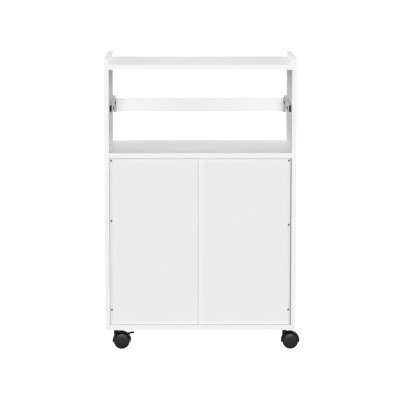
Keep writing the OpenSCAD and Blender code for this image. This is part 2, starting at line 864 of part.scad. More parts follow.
// Section of the ball cage, which passes behind the travelling member
module cage_section() {
    u1 = ball_u + race_r + cage_lip;
    arm = ball_v + cage_t / 2;
    difference() {
        translate([cage_u, -arm]) square([u1 - cage_u, 2 * arm]);
        translate([cage_u + cage_t, cage_t - arm]) square([u1, 2 * (arm - cage_t)]);
    }
}

module slide_outer_members() {
    color(zinc_c) for (side = [-1, 1])
        on_side(side) difference() {
            along_slide(slide_y0, slide_y1) outer_section();
            for (y = slide_screw_ys)
                translate([inner_x - slide_wall, y, slide_z]) rotate([0, 90, 0])
                    flat_screw(slide_screw_r + push_fit, slide_screw_head_r + push_fit, slide_wall,
                        slide_screw_l);
        }
}

module slide_wall_screws() {
    color(steel_c) for (side = [-1, 1], y = slide_screw_ys)
        on_side(side) translate([inner_x - slide_wall, y, slide_z]) rotate([0, 90, 0])
            flat_screw(slide_screw_r, slide_screw_head_r, slide_wall, slide_screw_l);
}

// Plastic buffers that the travelling members shut against
module slide_buffers() {
    color(black_c) for (side = [-1, 1])
        on_side(side)
            block([inner_x - slide_w + slide_wall, slide_y1 - buffer_l, slide_z - inner_v],
                [inner_x - slide_wall, slide_y1, slide_z + inner_v]);
}

module slide_inner_members() {
    web_x = inner_x - slide_w;
    color(zinc_c) for (side = [-1, 1])
        on_side(side) difference() {
            along_slide(slide_y0, slide_y0 + inner_l) inner_section();
            for (y = slide_screw_ys)
                rod_x(slide_screw_head_r + screw_access, web_x - cut, web_x + slide_wall + cut,
                    [y, slide_z]);
            for (y = rivet_ys())
                rod_x(rivet_r + push_fit, web_x - cut, web_x + slide_wall + cut, [y, slide_z]);
        }
}

function rivet_ys() = [slide_y0 + rivet_in, slide_y0 + bracket_arm - rivet_in];

// Black release levers clipped to the travelling members
module slide_levers() {
    face = inner_x - slide_w;
    color(black_c) for (side = [-1, 1], y = lever_ys)
        on_side(side) {
            block([face - lever_t, y - lever_l / 2, slide_z - lever_h],
                [face, y + lever_l / 2, slide_z]);
            rod_x(lever_h / 2, face - 1.4 * lever_t, face, [y + lever_l / 2, slide_z - lever_h / 2]);
        }
}

module ball_cage() {
    color(steel_c) difference() {
        along_slide(cage_y0, cage_y0 + cage_l) cage_section();
        at_balls() cylinder(r = race_r, h = 4 * cage_t, center = true);
    }
}

module slide_balls() {
    color(steel_c) at_balls() sphere(r = ball_r);
}

// Its children at each ball, upper and lower row
module at_balls() {
    for (i = [0 : ball_count - 1], s = [-1, 1])
        translate([inner_x - ball_u, cage_y0 + cage_end + i * ball_pitch, slide_z + s * ball_v])
            children();
}

// ---------------------------------------------------------------- rail

module front_rail() {
    color(board_c) difference() {
        block([-rail_end, front_y, rail_z0], [rail_end, rail_rear, rail_z1]);
        for (side = [-1, 1], z = rail_screw_zs)
            on_side(side)
                rod_y(rail_screw_r + push_fit, rail_rear - rail_screw_l + bracket_t, rail_rear + cut,
                    [rail_screw_x(), z]);
    }
}

function rail_screw_x() = inner_x - (rail_gap + bracket_web_u) / 2;

// Brackets: a plate behind each rail end, lips over and under it, and an arm along the slide
module rail_brackets() {
    x0 = inner_x - bracket_web_u;
    arm_y = slide_y0 + bracket_arm;
    color(zinc_c) for (side = [-1, 1])
        on_side(side) difference() {
            union() {
                block([x0, rail_rear, rail_z0 - bracket_t],
                    [rail_end, rail_rear + bracket_t, rail_z1 + bracket_t]);
                for (z = [rail_z0 - bracket_t, rail_z1])
                    block([x0, rail_rear - bracket_lip, z], [rail_end, rail_rear + bracket_t, z + bracket_t]);
                block([x0, rail_rear, rail_z0 - bracket_t],
                    [x0 + bracket_t, rail_rear + 3 * bracket_t, rail_z1 + bracket_t]);
                block([x0, rail_rear, slide_z - bracket_arm_h / 2],
                    [x0 + bracket_t, arm_y, slide_z + bracket_arm_h / 2]);
            }
            for (z = rail_screw_zs)
                rod_y(rail_screw_r + push_fit, rail_rear - cut, rail_rear + 4 * bracket_t,
                    [rail_screw_x(), z]);
            for (y = rivet_ys())
                rod_x(rivet_r + push_fit, x0 - cut, x0 + bracket_t + cut, [y, slide_z]);
        }
}

// Screws and rivets of the brackets
module rail_screws() {
    x0 = inner_x - bracket_web_u;
    color(steel_c) for (side = [-1, 1])
        on_side(side) {
            for (z = rail_screw_zs)
                translate([rail_screw_x(), rail_rear + bracket_t, z]) rotate([90, 0, 0])
                    pan_screw(rail_screw_r, rail_screw_head_r, rail_screw_head_t, rail_screw_l);
            for (y = rivet_ys()) {
                rod_x(rivet_r, x0 - rivet_head_t, inner_x - slide_w + slide_wall, [y, slide_z]);
                rod_x(rivet_head_r, x0 - rivet_head_t, x0, [y, slide_z]);
            }
        }
}

// ---------------------------------------------------------------- casters

// Its children, modelled about the swivel's axis, at caster c
module at_swivel(c) {
    translate([c[1] * swivel_x, c[2] * swivel_y, 0]) children();
}

module plate_corners() {
    for (x = [-1, 1], y = [-1, 1])
        translate([x * plate_hole, y * plate_hole, 0]) children();
}

module caster_plates() {
    color(zinc_c) for (c = CASTERS)
        at_swivel(c) translate([0, 0, plate_z]) difference() {
            linear_extrude(height = plate_t) soft_square(plate_w, plate_round);
            translate([0, 0, -cut]) {
                cylinder(r = kingpin_r + push_fit, h = plate_t + 2 * cut);
                plate_corners() cylinder(r = plate_screw_r + run_fit, h = plate_t + 2 * cut);
            }
        }
}

module caster_kingpins() {
    color(steel_c) for (c = CASTERS)
        at_swivel(c) translate([0, 0, kingpin_z]) {
            cylinder(r1 = 0.75 * kingpin_r, r2 = kingpin_r, h = kingpin_r / 2);
            translate([0, 0, kingpin_r / 2])
                cylinder(r = kingpin_r, h = caster_h - kingpin_z - kingpin_r / 2);
        }
}

module caster_plate_screws() {
    color(zinc_c) for (c = CASTERS)
        at_swivel(c) plate_corners() translate([0, 0, plate_z])
            pan_screw(plate_screw_r, plate_screw_head_r, plate_screw_head_t, plate_screw_l);
}

// Its children in the wheel's plane: drawn as [out from the swivel, up from the wheel's centre]
module wheel_plane(w) {
    translate([-trail, 0, wheel_r]) rotate([90, 0, 0]) linear_extrude(height = w, center = true)
        mirror([1, 0]) children();
}

// The hood's outer form: a disc about the axle, crowned across its width
module crowned_disc() {
    translate([-trail, 0, wheel_r]) rotate([90, 0, 0]) rotate_extrude($fn = 96) intersection() {
        translate([0, -hood_w / 2]) square([hood_r, hood_w]);
        translate([hood_r - hood_crown, 0]) circle(r = hood_crown, $fn = 96);
    }
}

// A sector about the wheel's centre, from radius r0 out, between two angles
module sector(r0, angles) {
    reach = 2 * hood_r;
    bend = (angles[0] + angles[1]) / 2;
    difference() {
        polygon([[0, 0], for (a = [angles[0], bend, angles[1]]) reach * [cos(a), sin(a)]]);
        circle(r = r0, $fn = 96);
    }
}

// Moulded hood: a fender over both wheels, a web between them and the swivel boss.
// A braked hood has a window for the pedal's saddle and two ears for its stubs
module hood(braked) {
    boss_top = plate_z - boss_gap;
    color(black_c) difference() {
        union() {
            difference() {
                intersection() {
                    crowned_disc();
                    translate([-trail - hood_r, -hood_w / 2, skirt_z])
                        cube([2 * hood_r, hood_w, 2 * hood_r]);
                }
                if (braked)
                    wheel_plane(pedal_w + 2 * window_gap)
                        sector(wheel_r - window_foot, window_angles);
            }
            rod_y(hub_r, -web_w / 2, web_w / 2, [-trail, wheel_r]);
            translate([0, 0, wheel_r]) cylinder(r = boss_r, h = boss_top - wheel_r);
            if (braked)
                at_pivot()
                    for (s = [-1, 1])
                        scale([1, s, 1])
                            rod_y(pedal_boss_r, pedal_w / 2 + window_gap, stub_reach + ear_wall, [0, 0]);
        }
        for (s = [-1, 1])
            scale([1, s, 1]) rod_y(well_r, web_w / 2, hood_w, [-trail, wheel_r], $fn = 96);
        rod_y(axle_r + run_fit, -web_w, web_w, [-trail, wheel_r]);
        translate([0, 0, kingpin_z - cut]) cylinder(r = kingpin_r + run_fit, h = caster_h);
        wheel_plane(web_w + cut) web_pockets();
        if (braked)
            at_pivot() rod_y(stub_r + run_fit, -stub_reach, stub_reach, [0, 0]);
    }
}

// Its children at the middle of the pedal's pivot
module at_pivot() {
    translate([-trail - pedal_pivot[0], 0, wheel_r + pedal_pivot[1]]) children();
}

// Openings that lighten the web each side of its hub
module web_pockets() {
    for (angles = [[200, 232], [-52, 8]])
        intersection() {
            circle(r = well_r - 0.1);
            sector(hub_r + pocket_wall, angles);
        }
}

// Half section of a wheel, as [radius, height], with its open side at 0
module wheel_section() {
    rim_in = wheel_r - rim_t;
    face = wheel_w - dome_h;
    difference() {
        union() {
            square([wheel_r - tread_round, face]);
            translate([0, tread_round]) square([wheel_r, face - 2 * tread_round]);
            for (h = [tread_round, face - tread_round])
                translate([wheel_r - tread_round, h]) circle(r = tread_round, $fn = round_fn);
            polygon([for (i = [0 : dome_steps])
                    [rim_in * sin(90 * i / dome_steps), face + dome_h * cos(90 * i / dome_steps)],
                [rim_in, face - cut], [0, face - cut]]);
        }
        translate([rim_in, face - groove_d]) square([groove_w, groove_d + cut]);
        translate([hub_r, -cut]) square([rim_in - hub_r, wheel_w - disc_t + cut]);
        translate([-cut, -cut]) square([axle_r + push_fit + cut, wheel_w - axle_blind + cut]);
    }
}

// One wheel, about its axle, with ribs in its open side
module wheel() {
    rotate_extrude($fn = 96) wheel_section();
    for (i = [0 : rib_count - 1])
        rotate([0, 0, i * 360 / rib_count])
            translate([hub_r - rib_sink, -rib_t / 2, rib_sink])
                cube([wheel_r - rim_t - hub_r + 2 * rib_sink, rib_t, wheel_w - disc_t]);
}

module wheels() {
    color(wheel_c) for (s = [-1, 1])
        translate([-trail, s * wheel_y, wheel_r]) rotate([-90 * s, 0, 0]) wheel();
}

module axle() {
    reach = wheel_y + wheel_w - axle_blind - push_fit;
    color(steel_c) rod_y(axle_r, -reach, reach, [-trail, wheel_r]);
}

// Brake pedal, drawn released: a saddle in the hood's window, a lever past its end and two stubs
module brake_pedal() {
    stub_end = stub_reach - run_fit;
    color(black_c) {
        intersection() {
            crowned_disc();
            wheel_plane(pedal_w) sector(saddle_r0, saddle_angles);
        }
        wheel_plane(lever_w) pedal_lever();
        at_pivot() {
            rod_y(pedal_boss_r, -pedal_w / 2, pedal_w / 2, [0, 0]);
            rod_y(stub_r, -stub_end, stub_end, [0, 0]);
        }
    }
}

// Outline of the lever: it leaves the saddle's end steeply and levels out to a rounded tip
module pedal_lever() {
    tip = [pedal_reach - pedal_t / 2, pedal_up];
    knee = [pedal_reach - 10.5, pedal_up - 0.6];
    head = (hood_r - 1) * [cos(saddle_angles[0] + 10), sin(saddle_angles[0] + 10)];
    half = [0, pedal_t / 2];
    polygon([shoe, knee - half, tip - half, tip + half, knee + half, head]);
    translate(tip) circle(r = pedal_t / 2);
}

// ---------------------------------------------------------------- the nodes

placed() on_side(-1) side_panel();  // side_panel_left
placed() side_panel();  // side_panel_right
placed() top_shelf();
placed() microwave_shelf();
placed() bottom_panel();
placed() back_panel(-1, back_gaps[0], back_screw_in[0], back_screw_mid[0]);  // back_panel_left
placed() back_panel(1, back_gaps[1], back_screw_in[1], back_screw_mid[1]);  // back_panel_right
placed() back_joint_strip();
placed() back_cleats();
placed() back_panel_screws();
placed() adjustable_shelf();
placed() shelf_pins();
placed() cam_locks();
placed() cam_bolts();
placed() wood_dowels();
placed() slide_outer_members();
placed() slide_wall_screws();
placed() slide_buffers();
placed() hinge_frame_leaves();
placed() hinge_pins();
placed() hinge_frame_screws();
placed() catch_housings();
placed() catch_magnets();
placed() caster_plates();
placed() caster_kingpins();
placed() caster_plate_screws();
placed() on_side(-1) door();  // door_left
placed() door();  // door_right
placed() on_side(-1) knob();  // knob_left
placed() knob();  // knob_right
placed() on_side(-1) hinge_door_leaves();  // hinge_door_leaves_left
placed() hinge_door_leaves();  // hinge_door_leaves_right
placed() on_side(-1) door_screws();  // door_screws_left
placed() door_screws();  // door_screws_right
placed() on_side(-1) strike_plate();  // strike_plate_left
placed() strike_plate();  // strike_plate_right
placed() front_rail();
placed() rail_brackets();
placed() rail_screws();
placed() slide_inner_members();
placed() slide_levers();
placed() on_side(-1) ball_cage();  // ball_cage_left
placed() ball_cage();  // ball_cage_right
placed() on_side(-1) slide_balls();  // slide_balls_left
placed() slide_balls();  // slide_balls_right
placed() at_swivel(CASTERS[0]) hood(CASTERS[0][3]);  // hood_front_left
placed() at_swivel(CASTERS[1]) hood(CASTERS[1][3]);  // hood_front_right
placed() at_swivel(CASTERS[2]) hood(CASTERS[2][3]);  // hood_rear_left
placed() at_swivel(CASTERS[3]) hood(CASTERS[3][3]);  // hood_rear_right
placed() at_swivel(CASTERS[0]) wheels();  // wheels_front_left
placed() at_swivel(CASTERS[1]) wheels();  // wheels_front_right
placed() at_swivel(CASTERS[2]) wheels();  // wheels_rear_left
placed() at_swivel(CASTERS[3]) wheels();  // wheels_rear_right
placed() at_swivel(CASTERS[0]) axle();  // axle_front_left
placed() at_swivel(CASTERS[1]) axle();  // axle_front_right
placed() at_swivel(CASTERS[2]) axle();  // axle_rear_left
placed() at_swivel(CASTERS[3]) axle();  // axle_rear_right
placed() at_swivel(CASTERS[1]) brake_pedal();  // brake_pedal_front_right
placed() at_swivel(CASTERS[3]) brake_pedal();  // brake_pedal_rear_right
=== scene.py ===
"""Rolling microwave cart, seen from behind and a little above, as it is photographed.

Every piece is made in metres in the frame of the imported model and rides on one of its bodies.
The cart's wheels stand on z = 0, its doors face -Y and its back panels, towards the camera, +Y.
"""

import json
import math

import bmesh
import bpy
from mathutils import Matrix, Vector

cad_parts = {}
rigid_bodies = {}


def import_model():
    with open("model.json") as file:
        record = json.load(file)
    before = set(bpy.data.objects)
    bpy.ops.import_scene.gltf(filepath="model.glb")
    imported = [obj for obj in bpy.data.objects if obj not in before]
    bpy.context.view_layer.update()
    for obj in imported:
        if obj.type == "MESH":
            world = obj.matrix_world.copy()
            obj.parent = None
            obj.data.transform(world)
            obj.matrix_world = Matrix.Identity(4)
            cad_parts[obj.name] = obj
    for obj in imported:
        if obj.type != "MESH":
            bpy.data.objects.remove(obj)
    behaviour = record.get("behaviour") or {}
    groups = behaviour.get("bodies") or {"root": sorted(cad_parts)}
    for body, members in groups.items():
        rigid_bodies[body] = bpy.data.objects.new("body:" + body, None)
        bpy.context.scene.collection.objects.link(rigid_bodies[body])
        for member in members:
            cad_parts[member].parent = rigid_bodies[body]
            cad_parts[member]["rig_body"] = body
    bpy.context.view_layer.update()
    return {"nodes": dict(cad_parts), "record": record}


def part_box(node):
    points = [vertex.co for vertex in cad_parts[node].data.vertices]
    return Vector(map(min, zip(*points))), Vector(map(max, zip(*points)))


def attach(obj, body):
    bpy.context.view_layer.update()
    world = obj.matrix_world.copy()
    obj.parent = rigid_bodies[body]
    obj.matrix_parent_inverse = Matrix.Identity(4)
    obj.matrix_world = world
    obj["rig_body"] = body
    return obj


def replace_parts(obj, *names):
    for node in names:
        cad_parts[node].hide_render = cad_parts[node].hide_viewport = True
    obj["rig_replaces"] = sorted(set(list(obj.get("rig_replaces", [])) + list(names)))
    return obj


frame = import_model()

MM = 0.001
X, Y, Z = 0, 1, 2
WHITE = (1, 1, 1, 1)

SLOT_OF = {part["node"]: part["material_slot"] for part in frame["record"]["subparts"]}
CASTERS = ["front_left", "front_right", "rear_left", "rear_right"]
BRAKED = ["front_right", "rear_right"]


# ---------------------------------------------------------------- camera

# Where the photograph was taken from, found from the cart's own edges in it. The lens and the
# sensor are in millimetres.
CAMERA_AT = Vector((0.049, 6.892, 1.377))
AIM_AT = Vector((0.0084, 0.212, 0.4774))
LENS = 194.67
SENSOR = 36.0


def set_camera():
    data = bpy.data.cameras.new("photo_camera")
    data.lens = LENS
    data.sensor_width = SENSOR
    camera = bpy.data.objects.new("photo_camera", data)
    camera.location = CAMERA_AT
    camera.rotation_euler = (AIM_AT - CAMERA_AT).to_track_quat("-Z", "Y").to_euler()
    bpy.context.scene.collection.objects.link(camera)
    bpy.context.scene.camera = camera


# ---------------------------------------------------------------- shader maths

MIX_A, MIX_B, MIX_RESULT = 6, 7, 2  # the colour sockets of a Mix node


class Wire:
    """An output socket that Python's sums and products extend with Math nodes."""

    def __init__(self, wiring, socket):
        self.wiring = wiring
        self.socket = socket

    def join(self, operation, first, second):
        sockets = {0: first, 1: second}
        return self.wiring.node("ShaderNodeMath", operation=operation, sockets=sockets)

    def __add__(self, other):
        return self.join("ADD", self, other)

    def __radd__(self, other):
        return self.join("ADD", other, self)

    def __mul__(self, other):
        return self.join("MULTIPLY", self, other)

    def __rmul__(self, other):
        return self.join("MULTIPLY", other, self)


class Wiring:
    """A node tree that is filled node by node."""

    def __init__(self, tree):
        self.tree = tree

    def feed(self, socket, value):
        """Gives a socket a plain value or another node's output."""
        if isinstance(value, Wire):
            self.tree.links.new(value.socket, socket)
        else:
            socket.default_value = value

    def node(self, kind, out=0, sockets=None, **settings):
        """Adds a node: its settings first, then values or links of its sockets."""
        made = self.tree.nodes.new(kind)
        for name, value in settings.items():
            setattr(made, name, value)
        for name, value in (sockets or {}).items():
            self.feed(made.inputs[name], value)
        return Wire(self, made.outputs[out])


class Finish(Wiring):
    """One material between two tones. Constants go to the shader's own sockets."""

    def __init__(self, name, **constants):
        self.material = bpy.data.materials.new(name)
        self.material.use_nodes = True
        super().__init__(self.material.node_tree)
        self.tones = TONES[name]
        self.shader = self.tree.nodes["Principled BSDF"].inputs
        for socket, value in constants.items():
            self.shader[socket.replace("_", " ")].default_value = value
        self.place = self.node("ShaderNodeTexCoord", out="Object")

    def noise(self, per_metre, detail=2.0, roughness=0.5, stretch=(1, 1, 1)):
        """Noise of that many cells per metre, drawn out along the axes whose stretch is under 1."""
        place = self.node("ShaderNodeMapping", sockets={"Vector": self.place, "Scale": stretch})
        return self.node("ShaderNodeTexNoise", out="Fac", sockets={
            "Vector": place, "Scale": per_metre, "Detail": detail, "Roughness": roughness})

    def mix(self, low, high, mask):
        """A colour between two colours, each a tone or a wire, by a mask from 0 to 1."""
        low, high = (tone if isinstance(tone, Wire) else (*tone, 1) for tone in (low, high))
        return self.node("ShaderNodeMix", out=MIX_RESULT, data_type="RGBA",
                         sockets={"Factor": mask, MIX_A: low, MIX_B: high})

    def toned(self, mask):
        """The finish's own two tones, mixed by a mask."""
        return self.mix(*self.tones, mask)

    def colour(self, tone):
        self.feed(self.shader["Base Color"], tone)

    def roughness(self, mask, low, high):
        """Roughness from low to high as a mask goes from 0 to 1."""
        self.feed(self.shader["Roughness"], low + (high - low) * mask)

    def relief(self, height, depth, strength):
        """A fine relief of that depth in metres."""
        self.feed(self.shader["Normal"], self.node("ShaderNodeBump", out="Normal", sockets={
            "Strength": strength, "Distance": depth, "Height": height}))


# ---------------------------------------------------------------- light and floor

# The strength of the white room's own light, over and under a soft horizon
ROOM_ABOVE = 0.2
ROOM_BELOW = 0.3
HORIZON = 0.02
# Named as the camera sees the cart: azimuth and elevation in degrees, strength, and how far
# the light spreads in degrees
SUNS = {
    "low_front": (0, 12, 1.56, 12),
    "left_fill": (50, 15, 0.78, 25),
    "right_fill": (-50, 15, 0.66, 25),
    "rear_room": (180, 25, 0.5, 50),
    "rear_high": (180, 50, 0.6, 40),
    "door_left": (135, 6, 0.28, 12),
    "door_right": (-135, 6, 0.2, 12),
    "left_side": (97, 8, 0.95, 12),
    "right_side": (-97, 8, 0.95, 12),
}
FLOOR_HALF = 60.0
FLOOR_GLOW = 0.9
FLOOR_SPECKS = 3.0


def soft_sun(name, azimuth, elevation, strength, spread):
    """Even soft light. Azimuth 0 comes from +Y, the camera's side, and 90 from +X."""
    data = bpy.data.lights.new(name, "SUN")
    data.energy = strength
    data.angle = math.radians(spread)
    light = bpy.data.objects.new(name, data)
    turn, rise = math.radians(azimuth), math.radians(elevation)
    level = math.cos(rise)
    towards = Vector((math.sin(turn) * level, math.cos(turn) * level, math.sin(rise)))
    light.rotation_euler = (-towards).to_track_quat("-Z", "Y").to_euler()
    bpy.context.scene.collection.objects.link(light)


def set_light():
    """A white room that the camera sees at full white, its weaker glow, and the suns."""
    world = bpy.data.worlds.new("white_room")
    world.use_nodes = True
    room = Wiring(world.node_tree)
    place = room.node("ShaderNodeTexCoord", out="Generated")
    height = room.node("ShaderNodeSeparateXYZ", out="Z", sockets={"Vector": place})
    glow = room.node("ShaderNodeMapRange", sockets={
        "Value": height, "From Min": -HORIZON, "From Max": HORIZON,
        "To Min": ROOM_BELOW, "To Max": ROOM_ABOVE})
    seen = room.node("ShaderNodeLightPath", out="Is Camera Ray")
    strength = room.node("ShaderNodeMapRange", sockets={
        "Value": seen, "To Min": glow, "To Max": 1.0})
    background = world.node_tree.nodes["Background"].inputs
    room.feed(background["Color"], WHITE)
    room.feed(background["Strength"], strength)
    bpy.context.scene.world = world
    for name, (azimuth, elevation, power, spread) in SUNS.items():
        soft_sun(name, azimuth, elevation, power, spread)
    bpy.context.scene.view_settings.view_transform = "Standard"


def set_floor():
    bm = bmesh.new()
    bmesh.ops.create_grid(bm, x_segments=1, y_segments=1, size=FLOOR_HALF)
    mesh = bpy.data.meshes.new("floor")
    bm.to_mesh(mesh)
    bm.free()
    floor = bpy.data.objects.new("floor", mesh)
    bpy.context.scene.collection.objects.link(floor)
    floor.visible_diffuse = False
    floor.visible_glossy = False
    pale = Finish("pale_floor", Roughness=0.9, Emission_Color=WHITE, Emission_Strength=FLOOR_GLOW)
    specks = pale.node("ShaderNodeTexNoise", sockets={"Vector": pale.place, "Scale": FLOOR_SPECKS})
    pale.colour(pale.toned(specks))
    mesh.materials.append(pale.material)


# ---------------------------------------------------------------- finishes

# Each finish's darker and lighter tone, in linear light
TONES = {
    "pale_floor": ((0.9, 0.9, 0.9), (0.93, 0.93, 0.93)),
    "white_laminate": ((0.9, 0.9, 0.902), (0.92, 0.92, 0.92)),
    "white_edge_band": ((0.845, 0.845, 0.848), (0.865, 0.865, 0.865)),
    "chipboard_core": ((0.36, 0.25, 0.15), (0.66, 0.52, 0.36)),
    "lacquered_hardboard": ((0.798, 0.788, 0.774), (0.828, 0.819, 0.807)),
    "raw_hardboard": ((0.42, 0.4, 0.37), (0.54, 0.51, 0.48)),
    "raw_cleat": ((0.34, 0.32, 0.3), (0.46, 0.44, 0.41)),
    "strip_plastic": ((0.835, 0.821, 0.803), (0.86, 0.847, 0.831)),
    "white_plastic": ((0.84, 0.84, 0.835), (0.87, 0.87, 0.865)),
    "zinc_plate": ((0.4, 0.405, 0.415), (0.56, 0.565, 0.575)),
    "dark_zinc": ((0.05, 0.05, 0.052), (0.13, 0.13, 0.13)),
    "bright_steel": ((0.62, 0.62, 0.63), (0.75, 0.75, 0.75)),
    "black_nylon": ((0.003, 0.003, 0.003), (0.007, 0.007, 0.007)),
    "wheel_disc": ((0.008, 0.008, 0.0082), (0.014, 0.014, 0.0142)),
    "wheel_tyre": ((0.003, 0.003, 0.003), (0.007, 0.007, 0.007)),
    "raw_beech": ((0.5, 0.34, 0.2), (0.72, 0.56, 0.38)),
    "ferrite": ((0.03, 0.03, 0.032), (0.09, 0.09, 0.092)),
}
# Painted shadow on the back panel beside the joint strip: its grey, and its faintest and deepest
# share
STRIP_SHADOW_TONE = (0.6, 0.59, 0.57)
SHADOW_FAINT, SHADOW_DEEP = 0.5, 0.8
CRYSTALS_PER_METRE = 260.0
CRYSTAL_SHARE = 0.35
SCUFF_FROM, SCUFF_TO, SCUFF_SHARE = 0.62, 0.75, 0.35
SCUFF_GAIN, SCUFF_LIFT = 1.8, 0.01
GRAIN_SPAN = 0.14


def laminate():
    """White melamine face: satin, with a fine pebble grain and barely uneven sheen."""
    face = Finish("white_laminate", Specular_IOR_Level=0.4)
    face.colour(face.toned(face.noise(6, detail=3)))
    face.roughness(face.noise(2.2, detail=4, roughness=0.6), 0.34, 0.5)
    face.relief(face.noise(1400, detail=1), depth=0.03 * MM, strength=0.35)
    return face.material


def edge_band():
    """White plastic edge band, smoother than the faces, with scraper marks along it."""
    band = Finish("white_edge_band", Specular_IOR_Level=0.45)
    scraped = band.noise(260, stretch=(1, 1, 0.05))
    band.colour(band.toned(band.noise(18)))
    band.roughness(scraped, 0.3, 0.42)
    band.relief(scraped, depth=0.02 * MM, strength=0.3)
    return band.material


def raw_core():
    """Chipboard where it is drilled: tan flakes with dark specks."""
    core = Finish("chipboard_core", Roughness=0.9)
    flakes = core.noise(420, detail=3, stretch=(1, 1, 0.6))
    core.colour(core.toned(flakes))
    core.relief(flakes, depth=0.3 * MM, strength=0.6)
    return core.material


def raw_board(name):
    """Pressed fibre board without a coat: dry, fine and cloudy."""
    raw = Finish(name, Roughness=0.9)
    fibre = raw.noise(900, detail=4, stretch=(1, 0.5, 0.3))
    raw.colour(raw.toned(fibre))
    raw.relief(fibre, depth=0.12 * MM, strength=0.5)
    return raw.material


def lacquered_hardboard(shade_from, shade_to):
    """Warm white lacquer over pressed fibres, with a painted shadow greyed in from one x to
    another.
    """
    lacquer = Finish("lacquered_hardboard", Specular_IOR_Level=0.3)
    fibre = lacquer.noise(700, detail=3, stretch=(1, 1, 0.25))
    across = lacquer.node("ShaderNodeSeparateXYZ", out="X", sockets={"Vector": lacquer.place})
    near = lacquer.node("ShaderNodeMapRange", sockets={
        "Value": across, "From Min": shade_to, "From Max": shade_from})
    beyond = lacquer.node("ShaderNodeMath", operation="GREATER_THAN",
                          sockets={0: across, 1: shade_from})
    # painted shadow beside the joint strip, deepest at its edge, fading outwards and broken up by
    # the fibres
    painted_shadow = near * beyond * (SHADOW_FAINT + (SHADOW_DEEP - SHADOW_FAINT) * fibre)
    clean = lacquer.toned(lacquer.noise(5, detail=3))
    lacquer.colour(lacquer.mix(clean, STRIP_SHADOW_TONE, painted_shadow))
    lacquer.roughness(fibre, 0.5, 0.66)
    lacquer.relief(fibre, depth=0.05 * MM, strength=0.3)
    return lacquer.material


def white_plastic(name):
    """Extruded or moulded white plastic, with faint draw lines along its height."""
    plastic = Finish(name, Specular_IOR_Level=0.4)
    lines = plastic.noise(900, detail=1, stretch=(1, 1, 0.02))
    plastic.colour(plastic.toned(plastic.noise(12)))
    plastic.roughness(lines, 0.36, 0.5)
    plastic.relief(lines, depth=0.02 * MM, strength=0.4)
    return plastic.material


def zinc_plate(name):
    """Zinc-plated steel: cloudy crystals and a broken shine."""
    zinc = Finish(name, Metallic=1.0)
    cells = zinc.node("ShaderNodeTexVoronoi", out="Color", sockets={
        "Vector": zinc.place, "Scale": CRYSTALS_PER_METRE})
    crystal = zinc.node("ShaderNodeRGBToBW", sockets={"Color": cells})
    cloud = zinc.noise(90, detail=3)
    mask = crystal * CRYSTAL_SHARE + cloud * (1 - CRYSTAL_SHARE)
    zinc.colour(zinc.toned(mask))
    zinc.roughness(mask, 0.28, 0.46)
    zinc.relief(cloud, depth=0.03 * MM, strength=0.25)
    return zinc.material


def bright_steel():
    """Nickel-plated or polished steel with fine turning marks."""
    steel = Finish("bright_steel", Metallic=1.0)
    marks = steel.noise(1600, stretch=(1, 0.3, 1))
    steel.colour(steel.toned(steel.noise(60)))
    steel.roughness(marks, 0.16, 0.3)
    steel.relief(marks, depth=0.01 * MM, strength=0.3)
    return steel.material


def moulded_nylon(name, smoothest, gloss):
    """Moulded nylon: a fine even grain, slightly uneven black, paler scuffs on the high spots."""
    nylon = Finish(name, Specular_IOR_Level=gloss)
    grain = nylon.noise(1500)
    scuffs = nylon.node("ShaderNodeMapRange", sockets={
        "Value": nylon.noise(210, detail=5, roughness=0.7),
        "From Min": SCUFF_FROM, "From Max": SCUFF_TO})
    worn = tuple(tone * SCUFF_GAIN + SCUFF_LIFT for tone in nylon.tones[1])
    base = nylon.toned(nylon.noise(40, detail=3))
    nylon.colour(nylon.mix(base, worn, scuffs * SCUFF_SHARE))
    nylon.roughness(grain, smoothest, smoothest + GRAIN_SPAN)
    nylon.relief(grain, depth=0.05 * MM, strength=0.4)
    return nylon.material


def beech():
    """Raw beech dowels: straight pale grain with short dark flecks."""
    wood = Finish("raw_beech", Roughness=0.75)
    grain = wood.noise(900, detail=3, stretch=(0.08, 1, 1))
    wood.colour(wood.toned(grain))
    wood.relief(grain, depth=0.1 * MM, strength=0.5)
    return wood.material


def ferrite():
    """Sintered magnet: dark grey, dry and slightly pitted."""
    magnet = Finish("ferrite", Roughness=0.7)
    pits = magnet.noise(1200, detail=3)
    magnet.colour(magnet.toned(pits))
    magnet.relief(pits, depth=0.05 * MM, strength=0.6)
    return magnet.material


# ---------------------------------------------------------------- making pieces

MERGE = 0.002 * MM
FLAT = math.radians(0.5)
SHARP = math.radians(30)
ROUND_SEGMENTS = 2


def copy_of(node):
    """A CAD node's mesh with its corners merged and its flat faces made whole."""
    bm = bmesh.new()
    bm.from_mesh(frame["nodes"][node].data)
    bmesh.ops.remove_doubles(bm, verts=bm.verts, dist=MERGE)
    bmesh.ops.dissolve_limit(bm, angle_limit=FLAT, verts=bm.verts, edges=bm.edges)
    return bm


def soften(bm, width, shortest=0.0, segments=ROUND_SEGMENTS):
    """Rounds the sharp edges that are longer than the shortest length."""
    sharp = [e for e in bm.edges
             if e.is_manifold and e.calc_face_angle() > SHARP and e.calc_length() > shortest]
    bmesh.ops.bevel(bm, geom=sharp, offset=width, segments=segments, profile=0.5,
                    material=-1, affect="EDGES", clamp_overlap=True)


def cut_across(bm, point, normal):
    bmesh.ops.bisect_plane(bm, geom=bm.verts[:] + bm.edges[:] + bm.faces[:],
                           plane_co=point, plane_no=normal)


